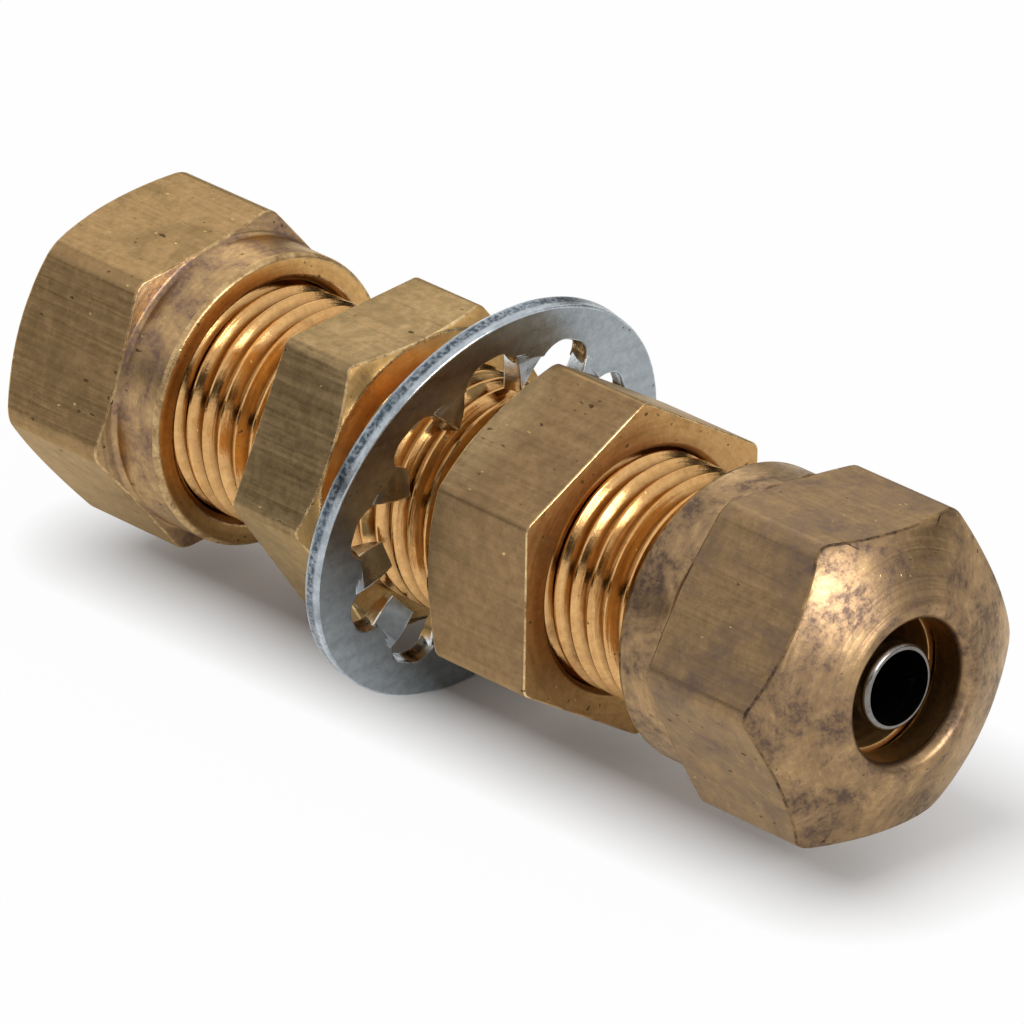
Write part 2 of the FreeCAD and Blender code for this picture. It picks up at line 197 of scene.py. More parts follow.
class Bench:
    """Modelling steps that all the pieces share, done with Blender's own operators."""

    BAR_LENGTH = 40.0
    CORNER_TURN = 30.0
    CORNER_SEGMENTS = 5
    EDGE_SEGMENTS = 3
    WELD_SHARE = 0.45

    @staticmethod
    def pick(piece: Object) -> None:
        """Make one object the only selected and active one.

        Args:
            piece: The object.
        """
        if bpy.context.object and bpy.context.object.mode != "OBJECT":
            bpy.ops.object.mode_set(mode="OBJECT")
        bpy.ops.object.select_all(action="DESELECT")
        piece.select_set(True)
        bpy.context.view_layer.objects.active = piece

    @staticmethod
    def start(primitive: Callable[..., Any], **settings: Any) -> Object:
        """Add a primitive, with nothing else selected.

        Args:
            primitive: Blender's operator that adds it.
            settings: Its size and place.

        Returns:
            The new object.
        """
        bpy.ops.object.select_all(action="DESELECT")
        primitive(**settings)
        return bpy.context.object

    @staticmethod
    def edit(piece: Object) -> None:
        """Open a piece in edit mode with all of it selected.

        Args:
            piece: The piece.
        """
        Bench.pick(piece)
        bpy.ops.object.mode_set(mode="EDIT")
        bpy.ops.mesh.select_mode(type="VERT")
        bpy.ops.mesh.select_all(action="SELECT")

    @staticmethod
    def edit_edges(piece: Object, wanted: Callable[[Vector, Vector], bool]) -> None:
        """Open a piece in edit mode with only some of its edges selected.

        Args:
            piece: The piece.
            wanted: Says for the two ends of an edge whether it is selected.
        """
        Bench.edit(piece)
        bpy.ops.mesh.select_mode(type="EDGE")
        bpy.ops.mesh.select_all(action="DESELECT")
        bpy.ops.object.mode_set(mode="OBJECT")
        for line in piece.data.edges:
            start, end = (piece.data.vertices[index].co for index in line.vertices)
            line.select = wanted(start, end)
        bpy.ops.object.mode_set(mode="EDIT")

    @staticmethod
    def close_up() -> None:
        """Weld the piece that is open, turn its faces outwards and leave edit mode."""
        bpy.ops.mesh.select_all(action="SELECT")
        bpy.ops.mesh.remove_doubles(threshold=WELD)
        bpy.ops.mesh.normals_make_consistent(inside=False)
        bpy.ops.object.mode_set(mode="OBJECT")

    @staticmethod
    def apply(piece: Object, kind: str, **settings: Any) -> None:
        """Put a modifier on a piece and apply it.

        Args:
            piece: The piece.
            kind: Blender's modifier type.
            settings: Properties of the modifier.
        """
        modifier = piece.modifiers.new("step", kind)
        for key, value in settings.items():
            setattr(modifier, key, value)
        Bench.pick(piece)
        bpy.ops.object.modifier_apply(modifier=modifier.name)

    @staticmethod
    def trace(points: list[Point]) -> Object:
        """Draw a chain of edges by extruding one vertex along an outline.

        Args:
            points: Stations and radii of the outline.

        Returns:
            The chain, lying in the XZ plane.
        """
        chain = Bench.start(bpy.ops.mesh.primitive_plane_add, size=1.0)
        Bench.edit(chain)
        bpy.ops.mesh.merge(type="CENTER")
        bpy.ops.transform.translate(value=(points[0][0], 0.0, points[0][1]))
        for last, here in zip(points, points[1:]):
            move = (here[0] - last[0], 0.0, here[1] - last[1])
            bpy.ops.mesh.extrude_region_move(TRANSFORM_OT_translate={"value": move})
        bpy.ops.object.mode_set(mode="OBJECT")
        return chain

    @staticmethod
    def turn(points: list[Point], steps: int) -> Object:
        """Spin a closed outline about the X axis.

        Args:
            points: Corners of the outline, as stations and radii.
            steps: Steps round the full turn.

        Returns:
            The turned solid.
        """
        solid = Bench.trace(points + points[:1])
        Bench.edit(solid)
        bpy.ops.mesh.remove_doubles(threshold=WELD)
        bpy.ops.mesh.select_all(action="SELECT")
        bpy.ops.mesh.spin(steps=steps, angle=2.0 * math.pi, center=ORIGIN, axis=(1.0, 0.0, 0.0))
        Bench.close_up()
        return solid

    @staticmethod
    def lay_down(piece: Object, turn: Triple = ORIGIN, shift: Triple = ORIGIN) -> None:
        """Turn and move a piece, and keep the place in its mesh.

        Args:
            piece: The piece.
            turn: Rotation about the origin.
            shift: Move after the rotation.
        """
        Bench.pick(piece)
        piece.rotation_euler = turn
        piece.location = shift
        bpy.ops.object.transform_apply(location=True, rotation=True, scale=True)

    @staticmethod
    def combine(piece: Object, tool: Object, how: Cut) -> None:
        """Join, cut or trim a piece with a tool solid, which is used up."""
        Bench.apply(piece, "BOOLEAN", operation=how.value, object=tool, solver="EXACT")
        bpy.data.objects.remove(tool, do_unlink=True)

    @staticmethod
    def ease_edges(piece: Object, width: float, sharp: float, slot: int = -1) -> None:
        """Round the sharp edges of a piece a little.

        Args:
            piece: The piece.
            width: Width of the rounding.
            sharp: Angle above which an edge counts as sharp, in degrees.
            slot: Material index of the rounded strips, or -1 for that of their neighbours.
        """
        Bench.edit(piece)
        bpy.ops.mesh.remove_doubles(threshold=width * Bench.WELD_SHARE)
        bpy.ops.object.mode_set(mode="OBJECT")
        Bench.apply(
            piece, "BEVEL", limit_method="ANGLE", angle_limit=math.radians(sharp), width=width,
            segments=Bench.EDGE_SEGMENTS, material=slot, use_clamp_overlap=False,
        )

    @staticmethod
    def hexagon_bar(flats: float, phase: float, edge: float) -> Object:
        """A long hexagonal bar along X, about the origin, with rounded corners.

        Args:
            flats: Width across the flats.
            phase: Turn of the first corner from +Z towards -Y, in degrees.
            edge: Width of the corner rounding on each flat.

        Returns:
            The bar.
        """
        def is_long(start: Vector, end: Vector) -> bool:
            """Whether an edge runs along the bar."""
            return abs(start.z - end.z) > Bench.BAR_LENGTH / 2.0

        bar = Bench.start(
            bpy.ops.mesh.primitive_cylinder_add, vertices=6, radius=flats / SQRT3,
            depth=Bench.BAR_LENGTH,
        )
        Bench.edit_edges(bar, is_long)
        bpy.ops.mesh.bevel(offset=edge, segments=Bench.CORNER_SEGMENTS, affect="EDGES")
        bpy.ops.object.mode_set(mode="OBJECT")
        Bench.lay_down(bar, (0.0, math.pi / 2.0, 0.0))
        Bench.lay_down(bar, (math.radians(phase - Bench.CORNER_TURN), 0.0, 0.0))
        return bar

    @staticmethod
    def paint(piece: Object, surface: Surface) -> None:
        """Give the faces of a piece their surface.

        Args:
            piece: The piece, in millimetres.
            surface: That of all faces, or a function that names one or leaves it with None.
        """
        for face in piece.data.polygons:
            x, y, z = face.center
            radius = math.hypot(y, z)
            outward = (face.normal.y * y + face.normal.z * z) / max(radius, WELD)
            facet = Facet(x, radius, face.normal.x, outward)
            choice = surface if isinstance(surface, Facing) else surface(facet)
            if choice is not None:
                face.material_index = choice.value

    @staticmethod
    def dress(piece: Object, materials: list[Material], surface: Surface = Facing.FLAT) -> None:
        """Give a piece its materials, and each face one of them.

        Args:
            piece: The piece, in millimetres.
            materials: The materials, in the order of the surfaces.
            surface: That of all faces, or a function that names one.
        """
        piece.data.materials.clear()
        for material in materials:
            piece.data.materials.append(material)
        Bench.paint(piece, surface)

    @staticmethod
    def finish(piece: Object, name: str, smooth: float, evened: bool = False) -> Object:
        """Name a piece, bring it to metres and smooth it.

        Args:
            piece: The piece in millimetres.
            name: Its name in the finished model.
            smooth: Angle below which its faces run smoothly together, in degrees.
            evened: Whether its large faces are shaded evenly up to their borders.

        Returns:
            The same piece.
        """
        piece.name = name
        piece.data.name = name
        Bench.pick(piece)
        piece.scale = (METRE, METRE, METRE)
        bpy.ops.object.transform_apply(location=True, rotation=True, scale=True)
        bpy.ops.object.shade_smooth_by_angle(angle=math.radians(smooth))
        if evened:
            Bench.apply(piece, "WEIGHTED_NORMAL", weight=100, keep_sharp=True)
        return piece


class Canvas:
    """A node tree with short ways to add and join nodes."""

    def __init__(self, tree: NodeTree) -> None:
        """Start on an emptied tree."""
        self.tree = tree
        self.tree.nodes.clear()

    @classmethod
    def of_material(cls, name: str) -> tuple[Material, "Canvas"]:
        """Make a material and start on its tree.

        Args:
            name: Name of the material.

        Returns:
            The material and its canvas.
        """
        material = bpy.data.materials.new(name)
        material.use_nodes = True
        return material, cls(material.node_tree)

    def add(self, kind: str, inputs: Sockets | None = None, **settings: Any) -> Node:
        """Add a node.

        Args:
            kind: Blender's node type.
            inputs: Values or sockets for its inputs, by name or number.
            settings: Properties of the node.

        Returns:
            The node.
        """
        node = self.tree.nodes.new(kind)
        for key, value in settings.items():
            setattr(node, key, value)
        for key, value in (inputs or {}).items():
            if isinstance(value, NodeSocket):
                self.tree.links.new(value, node.inputs[key])
            else:
                node.inputs[key].default_value = value
        return node

    def math(self, operation: str, *values: Value) -> NodeSocket:
        """Add a sum and return its result."""
        return self.add("ShaderNodeMath", dict(enumerate(values)), operation=operation).outputs[0]

    def vector(self, operation: str, *values: Value) -> Any:
        """Add a sum of vectors and return its outputs, first a vector and then a number."""
        inputs = dict(enumerate(values))
        return self.add("ShaderNodeVectorMath", inputs, operation=operation).outputs

    def pile(self, base: Value, *layers: tuple[Value, float]) -> Value:
        """Add weighted values to a base.

        Args:
            base: What they are added to.
            layers: Each value with its weight.

        Returns:
            The total.
        """
        for value, weight in layers:
            base = self.math("MULTIPLY_ADD", value, weight, base)
        return base

    def spread(self, value: Value, span: tuple[Value, Value], results: Point) -> NodeSocket:
        """Map a value from one span to another and hold it inside that."""
        inputs = dict(enumerate((value, *span, *results)))
        return self.add("ShaderNodeMapRange", inputs, clamp=True).outputs[0]

    def blend(self, share: Value, first: Value, second: Value) -> NodeSocket:
        """Mix two colours by the share of the second."""
        inputs = {0: share, 6: first, 7: second}
        return self.add("ShaderNodeMix", inputs, data_type="RGBA").outputs[2]

    def radius(self, place: Value) -> NodeSocket:
        """Distance of a place from the fitting's axis."""
        return self.vector("LENGTH", self.vector("MULTIPLY", place, (0.0, 1.0, 1.0))[0])[1]

    def show(self, shader: Node, kind: str = "ShaderNodeOutputMaterial") -> None:
        """Join a shader to the tree's output."""
        sheet = self.add(kind)
        self.tree.links.new(shader.outputs[0], sheet.inputs["Surface"])


@dataclass(frozen=True)
class Group:
    """A node group that is being built."""

    canvas: Canvas
    given: Node
    made: Node

    def deliver(self, label: str, value: NodeSocket) -> None:
        """Join a value to one of the group's outputs."""
        self.canvas.tree.links.new(value, self.made.inputs[label])


class Effects:
    """Surface effects that several finishes share, each built once as a node group."""

    LINE_LAYERS = ((1.0, 0.45), (0.35, 0.35), (0.1, 0.2))
    PIT_SIZE = (0.22, 0.04)
    PIT_BORDER: Point = (-0.04, 0.05)
    NICK_BORDER: Point = (0.05, 0.15)
    STAIN_BORDER: Point = (0.06, 0.1)
    MOTTLE_FINENESS = 7.0

    def __init__(self) -> None:
        """Build every group."""
        self.lines = {grain: self._lines(grain) for grain in Grain}
        self.pits = self._pits()
        self.nicks = self._nicks()
        self.stains = self._stains()

    @staticmethod
    def _start(name: str, numbers: list[str], outputs: list[str]) -> Group:
        """Start a group that takes a place and some numbers.

        Args:
            name: Name of the group.
            numbers: Names of its number inputs.
            outputs: Names of its number outputs.

        Returns:
            The group, with its inputs and outputs made.
        """
        tree = bpy.data.node_groups.new(name, "ShaderNodeTree")
        tree.interface.new_socket("Place", in_out="INPUT", socket_type="NodeSocketVector")
        for label in numbers:
            tree.interface.new_socket(label, in_out="INPUT", socket_type="NodeSocketFloat")
        for label in outputs:
            tree.interface.new_socket(label, in_out="OUTPUT", socket_type="NodeSocketFloat")
        canvas = Canvas(tree)
        return Group(canvas, canvas.add("NodeGroupInput"), canvas.add("NodeGroupOutput"))

    def _lines(self, grain: Grain) -> NodeTree:
        """Fine lines of one grain with broader streaks among them.

        Args:
            grain: Which way the lines run.

        Returns:
            The group.
        """
        group = self._start("lines_%s" % grain.name.lower(), ["Fineness"], ["Lines"])
        canvas, given = group.canvas, group.given.outputs
        run = given["Place"]
        if grain is Grain.TURNED:
            parts = canvas.add("ShaderNodeSeparateXYZ", {0: run}).outputs
            section = {0: parts[0], 1: canvas.radius(run), 2: parts[2]}
            run = canvas.add("ShaderNodeCombineXYZ", section).outputs[0]
        laid = canvas.vector("MULTIPLY", run, grain.value)[0]
        total: Value = 0.0
        for share, weight in self.LINE_LAYERS:
            scale = canvas.math("MULTIPLY", given["Fineness"], share)
            noise = canvas.add(
                "ShaderNodeTexNoise", {"Vector": laid, "Scale": scale, "Detail": 2.0})
            tone = canvas.spread(noise.outputs[0], NOISE_SPAN, RISING)
            total = canvas.pile(total, (tone, weight))
        group.deliver("Lines", total)
        return canvas.tree

    @staticmethod
    def _scatter(group: Group, stretch: Triple, turn: Triple, warp: float) -> Scatter:
        """Cells with ragged borders, a share of which is chosen.

        Args:
            group: The group, which is given a place, a fineness and a share.
            stretch: Squeeze of the cells along their own axes.
            turn: How they lie.
            warp: How ragged they are.

        Returns:
            A random tone of each cell, whether it is chosen, and the distance from its middle.
        """
        canvas, given = group.canvas, group.given.outputs
        fine = {0: given["Place"], "Scale": given["Fineness"]}
        scaled = canvas.add("ShaderNodeVectorMath", fine, operation="SCALE").outputs[0]
        laid = canvas.add(
            "ShaderNodeMapping", {"Vector": scaled, "Rotation": turn, "Scale": stretch}).outputs[0]
        ragged = canvas.add("ShaderNodeTexNoise", {"Vector": laid, "Scale": 2.2, "Detail": 3.0})
        push = canvas.vector("MULTIPLY_ADD", ragged.outputs["Color"], (warp,) * 3, laid)[0]
        cells = canvas.add("ShaderNodeTexVoronoi", {"Vector": push, "Scale": 1.0}).outputs
        tone = canvas.add("ShaderNodeSeparateColor", {0: cells["Color"]}).outputs
        return tone[1], canvas.math("LESS_THAN", tone[0], given["Share"]), cells["Distance"]

    def _pits(self) -> NodeTree:
        """Small scattered pits of uneven size and outline.

        Returns:
            The group.
        """
        group = self._start("pits", ["Fineness", "Share"], ["Pits"])
        canvas = group.canvas
        tone, chosen, distance = self._scatter(
            group, stretch=(0.5, 1.0, 1.0), turn=ORIGIN, warp=0.8)
        size = canvas.math("MULTIPLY_ADD", canvas.math("POWER", tone, 3.0), *self.PIT_SIZE)
        near = canvas.math("SUBTRACT", size, distance)
        spot = canvas.spread(near, self.PIT_BORDER, RISING)
        group.deliver("Pits", canvas.math("MULTIPLY", spot, chosen))
        return canvas.tree

    def _nicks(self) -> NodeTree:
        """Short bright scratches that lie aslant.

        Returns:
            The group.
        """
        group = self._start("nicks", ["Fineness", "Share"], ["Nicks"])
        _, chosen, distance = self._scatter(
            group, stretch=(0.45, 1.3, 0.7), turn=(0.5, 0.9, 0.3), warp=0.5)
        thin = group.canvas.spread(distance, self.NICK_BORDER, FALLING)
        group.deliver("Nicks", group.canvas.math("MULTIPLY", thin, chosen))
        return group.canvas.tree

    def _stains(self) -> NodeTree:
        """Cloudy oxide stains with ragged borders, and a finer mottle.

        Returns:
            The group.
        """
        group = self._start("stains", ["Fineness", "Reach"], ["Stain", "Mottle"])
        canvas, given = group.canvas, group.given.outputs
        cloud = canvas.add("ShaderNodeTexNoise", {
            "Vector": given["Place"], "Scale": given["Fineness"], "Detail": 10.0,
            "Roughness": 0.72, "Distortion": 0.4,
        })
        low = canvas.math("SUBTRACT", given["Reach"], self.STAIN_BORDER[0])
        high = canvas.math("ADD", given["Reach"], self.STAIN_BORDER[1])
        fine = canvas.math("MULTIPLY", given["Fineness"], self.MOTTLE_FINENESS)
        mottle = canvas.add("ShaderNodeTexNoise", {
            "Vector": given["Place"], "Scale": fine, "Detail": 5.0, "Roughness": 0.75})
        group.deliver("Stain", canvas.spread(cloud.outputs[0], (low, high), RISING))
        group.deliver("Mottle", canvas.spread(mottle.outputs[0], NOISE_SPAN, RISING))
        return canvas.tree


SOIL = srgb(56, 41, 26)
GROOVE_SOIL = srgb(84, 50, 22)
BARE_BRASS = srgb(236, 206, 140)
BREAK_GREY = srgb(56, 70, 82)
WHITE: Colour = (1.0, 1.0, 1.0, 1.0)

# How strongly wear shows in the colour, the roughness and the relief of every metal
NICK_COVER = 0.8
PIT_COVER = 0.7
THIN_STAIN = 0.3
STAIN_SPAN: Point = (0.1, 0.7)
LINE_ROUGHNESS = 0.1
STAIN_ROUGHNESS = 0.16
PIT_ROUGHNESS = 0.2
MOTTLE_HEIGHT = 0.35
PIT_HEIGHT = -2.5
NICK_HEIGHT = -1.0
RELIEF = 0.00004


@dataclass(frozen=True)
class MetalFinish:
    """One metal surface: its colours, its grain, its stains, pits and nicks."""

    name: str
    light: Colour
    dark: Colour
    stain: Colour
    grain: Grain
    roughness: float = 0.36
    grain_fineness: float = 5000.0
    grain_contrast: float = 0.5
    grain_bump: float = 0.2
    stain_reach: float = 0.6
    stain_fineness: float = 320.0
    stain_share: float = 0.7
    pit_share: float = 0.2
    pit_fineness: float = 2600.0
    nick_share: float = 0.05
    nick_fineness: float = 2600.0
    rim_tint: Colour = (1.0, 0.86, 0.64, 1.0)

    def tint(self, canvas: Canvas, place: Value, colour: Value) -> Value:
        """Add what only this kind of finish has; a plain one adds nothing."""
        return colour

    def make(self, effects: Effects) -> Material:
        """Build the material.

        Args:
            effects: The shared node groups.

        Returns:
            The material.
        """
        material, canvas = Canvas.of_material(self.name)
        place = canvas.add("ShaderNodeTexCoord").outputs["Object"]

        def effect(tree: NodeTree, fineness: float, **share: float) -> Any:
            """Outputs of one shared group."""
            inputs = {"Place": place, "Fineness": fineness, **share}
            return canvas.add("ShaderNodeGroup", inputs, node_tree=tree).outputs

        line = effect(effects.lines[self.grain], self.grain_fineness)["Lines"]
        stains = effect(effects.stains, self.stain_fineness, Reach=self.stain_reach)
        pit = effect(effects.pits, self.pit_fineness, Share=self.pit_share)["Pits"]
        nick = effect(effects.nicks, self.nick_fineness, Share=self.nick_share)["Nicks"]
        mottle = stains["Mottle"]

        tone = canvas.pile(
            0.0, (line, self.grain_contrast), (mottle, 1.0 - self.grain_contrast))
        colour = canvas.blend(tone, self.dark, self.light)
        covers = (THIN_STAIN * self.stain_share, self.stain_share)
        cover = canvas.math("MULTIPLY", stains["Stain"], canvas.spread(mottle, STAIN_SPAN, covers))
        colour = self.tint(canvas, place, canvas.blend(cover, colour, self.stain))
        colour = canvas.blend(canvas.math("MULTIPLY", nick, NICK_COVER), colour, BARE_BRASS)
        colour = canvas.blend(canvas.math("MULTIPLY", pit, PIT_COVER), colour, SOIL)

        rough = canvas.pile(
            self.roughness - LINE_ROUGHNESS / 2.0, (line, LINE_ROUGHNESS),
            (cover, STAIN_ROUGHNESS), (pit, PIT_ROUGHNESS),
        )
        relief = canvas.pile(
            line, (mottle, MOTTLE_HEIGHT), (pit, PIT_HEIGHT), (nick, NICK_HEIGHT))
        bump = canvas.add("ShaderNodeBump", {
            "Strength": self.grain_bump, "Distance": RELIEF, "Height": relief})
        canvas.show(canvas.add("ShaderNodeBsdfPrincipled", {
            "Base Color": colour, "Metallic": 1.0, "Roughness": rough,
            "Specular Tint": self.rim_tint, "Normal": bump.outputs[0],
        }))
        return material


@dataclass(frozen=True)
class ThreadFinish(MetalFinish):
    """A turned thread with old soil in its grooves."""

    groove_root: float = 5.1
    groove_crest: float = 5.35
    groove_cover: float = 0.6

    def tint(self, canvas: Canvas, place: Value, colour: Value) -> Value:
        """Darken the grooves.

        Args:
            canvas: The material's tree.
            place: The place on the piece.
            colour: The colour so far.

        Returns:
            The colour with soil in the grooves.
        """
        span = (self.groove_root * METRE, self.groove_crest * METRE)
        soil = canvas.spread(canvas.radius(place), span, (self.groove_cover, 0.0))
        return canvas.blend(soil, colour, GROOVE_SOIL)


@dataclass(frozen=True)
class StampedEdge(MetalFinish):
    """The edge of a stamped sheet: a rough dark break between two rubbed borders."""

    lean: float = WASHER_TILT
    station: float = WASHER_STATION
    offset: float = -0.1
    half_break: float = 0.2
    border: Point = (0.7, 1.4)
    crumb_fineness: float = 5200.0
    crumb_span: Point = (0.36, 0.6)
    crumb_cover: Point = (0.35, 0.95)

    def tint(self, canvas: Canvas, place: Value, colour: Value) -> Value:
        """Darken the broken middle of the edge.

        Args:
            canvas: The material's tree.
            place: The place on the piece.
            colour: The colour so far.

        Returns:
            The colour with its dark line.
        """
        turn = math.radians(self.lean)
        axis = (math.cos(turn), 0.0, -math.sin(turn))
        depth = canvas.vector("DOT_PRODUCT", place, axis)[1]
        middle = (self.station * axis[0] + self.offset) * METRE
        off = canvas.math("ABSOLUTE", canvas.math("SUBTRACT", depth, middle))
        reach = self.half_break * METRE
        band = canvas.spread(off, (self.border[0] * reach, self.border[1] * reach), FALLING)
        crumbs = canvas.add("ShaderNodeTexNoise", {
            "Vector": place, "Scale": self.crumb_fineness, "Detail": 3.0})
        broken = canvas.spread(crumbs.outputs[0], self.crumb_span, self.crumb_cover)
        return canvas.blend(canvas.math("MULTIPLY", band, broken), colour, BREAK_GREY)


OXIDE = srgb(86, 70, 64)
BROWN = srgb(112, 80, 50)
PALE_RIM: Colour = (1.0, 0.9, 0.76, 1.0)

UNION_FLAT = MetalFinish(
    "union_flat", srgb(180, 151, 110), srgb(108, 91, 61), srgb(98, 82, 56), Grain.DRAWN, 0.34,
    stain_reach=0.57, stain_fineness=260.0, stain_share=0.5, pit_share=0.35, nick_share=0.1,
)
UNION_FACE = MetalFinish(
    "union_face", srgb(240, 196, 128), srgb(198, 152, 92), BROWN, Grain.TURNED,
)
THREAD = ThreadFinish(
    "union_thread", srgb(234, 187, 125), srgb(186, 138, 84), BROWN, Grain.TURNED, 0.14,
    pit_share=0.1, nick_share=0.02,
)
EDGE_BRASS = MetalFinish(
    "worn_edge", srgb(246, 220, 168), srgb(190, 150, 98), BROWN, Grain.DRAWN, 0.22,
    stain_reach=0.5, stain_fineness=700.0, stain_share=0.85,
)
# Brass of bores, mouths and nut ends: its own colour, lightened as painted fill light where little
# light gets in
INSIDE_BRASS_PAINTED_FILL = MetalFinish(
    "inside_brass", srgb(222, 180, 118), srgb(172, 132, 80), BROWN, Grain.TURNED,
)
NUT_FLAT_RIGHT = MetalFinish(
    "nut_flat_right", srgb(168, 138, 100), srgb(118, 95, 67), srgb(108, 90, 86), Grain.DRAWN,
    stain_reach=0.5, stain_share=0.8, pit_share=0.35, nick_share=0.1, rim_tint=PALE_RIM,
)
NUT_TURNED_RIGHT = MetalFinish(
    "nut_turned_right", srgb(190, 157, 115), srgb(140, 112, 79), OXIDE, Grain.TURNED, 0.3,
    grain_contrast=0.4, stain_reach=0.47, stain_share=0.92, stain_fineness=330.0,
    rim_tint=PALE_RIM,
)
NUT_EDGE_RIGHT = MetalFinish(
    "nut_edge_right", srgb(186, 152, 104), srgb(126, 99, 68), srgb(62, 50, 50), Grain.DRAWN, 0.34,
    stain_reach=0.46, stain_share=0.95, stain_fineness=280.0, nick_share=0.25,
)
NUT_FLAT_LEFT = MetalFinish(
    "nut_flat_left", srgb(176, 144, 102), srgb(122, 98, 66), srgb(92, 74, 46), Grain.DRAWN,
    stain_reach=0.57, stain_fineness=260.0, stain_share=0.6, pit_share=0.4, nick_share=0.16,
)
NUT_TURNED_LEFT = MetalFinish(
    "nut_turned_left", srgb(206, 172, 124), srgb(158, 126, 88), srgb(112, 89, 84), Grain.TURNED,
    0.3, grain_contrast=0.45, stain_reach=0.47, stain_share=0.85, stain_fineness=450.0,
    pit_share=0.35,
)
NUT_EDGE_LEFT = MetalFinish(
    "nut_edge_left", srgb(230, 198, 146), srgb(160, 126, 84), BROWN, Grain.DRAWN, 0.28,
    stain_reach=0.5, stain_share=0.85, stain_fineness=900.0, nick_share=0.3,
)
LOCKNUT_FLAT = MetalFinish(
    "locknut_flat", srgb(166, 135, 97), srgb(114, 91, 63), srgb(100, 82, 58), Grain.DRAWN,
    stain_reach=0.56, stain_fineness=280.0, stain_share=0.55, pit_share=0.45, nick_share=0.1,
)
LOCKNUT_FACE = MetalFinish(
    "locknut_face", srgb(204, 164, 110), srgb(158, 119, 72), BROWN, Grain.TURNED, 0.46,
    pit_share=0.35,
)
# Sleeve brass: its own colour, lightened as painted fill light for the dim throat of the nut
SLEEVE_BRASS_PAINTED_FILL = MetalFinish(
    "sleeve_brass", srgb(244, 204, 140), srgb(206, 162, 100), BROWN, Grain.TURNED, 0.42,
)
WASHER_ZINC = MetalFinish(
    "washer_zinc", srgb(174, 182, 186), srgb(128, 134, 138), srgb(104, 102, 98), Grain.ROLLED,
    0.3, grain_fineness=2600.0, stain_share=0.4, pit_share=0.1, nick_share=0.0, rim_tint=WHITE,
)
WASHER_EDGE = StampedEdge(
    "washer_edge", srgb(206, 212, 216), srgb(140, 150, 158), srgb(90, 100, 110), Grain.ROLLED,
    0.26, stain_reach=0.55, pit_share=0.35, pit_fineness=4000.0, nick_share=0.0, rim_tint=WHITE,
)
# Sides of the teeth, painted near white: a painted highlight of the light they catch
TOOTH_SIDE_PAINTED_HIGHLIGHT = MetalFinish(
    "tooth_side", srgb(232, 234, 234), srgb(196, 200, 202), srgb(150, 148, 142), Grain.ROLLED,
    0.2, stain_share=0.3, pit_share=0.05, nick_share=0.0, rim_tint=WHITE,
)
SUPPORT_STEEL = MetalFinish(
    "support_steel", srgb(150, 146, 142), srgb(98, 93, 88), srgb(80, 70, 60), Grain.TURNED,
    0.22, pit_share=0.05, nick_share=0.0, rim_tint=WHITE,
)


def make_all(effects: Effects, *finishes: MetalFinish) -> list[Material]:
    """Build the materials of a piece, in the order of its surfaces."""
    return [finish.make(effects) for finish in finishes]


def hexagon_surface(facet: Facet) -> Facing:
    """Name the surface of a hexagon's face: flats are drawn, ends are turned."""
    return Facing.TURNED if abs(facet.along) > END_LEAN else Facing.FLAT


class Side(Enum):
    """The two ends of the fitting, as the turn that points a nose their way."""

    RIGHT = 0.0
    LEFT = math.pi

    def place(self, piece: Object, station: float) -> None:
        """Bring a piece drawn with its nose towards +X to its end of the fitting."""
        Bench.lay_down(piece, (0.0, 0.0, self.value), (station, 0.0, 0.0))

    def title(self, piece: str, metal: str) -> str:
        """Name a piece after its end of the fitting."""
        return "%s_%s_%s" % (piece, self.name.lower(), metal)


class SubAssembly(ABC):
    """A piece of the fitting that can be modelled and dressed."""

    @abstractmethod
    def build(self, effects: Effects) -> Object:
        """Model and dress the piece.

        Args:
            effects: The shared node groups.

        Returns:
            The finished piece.
        """


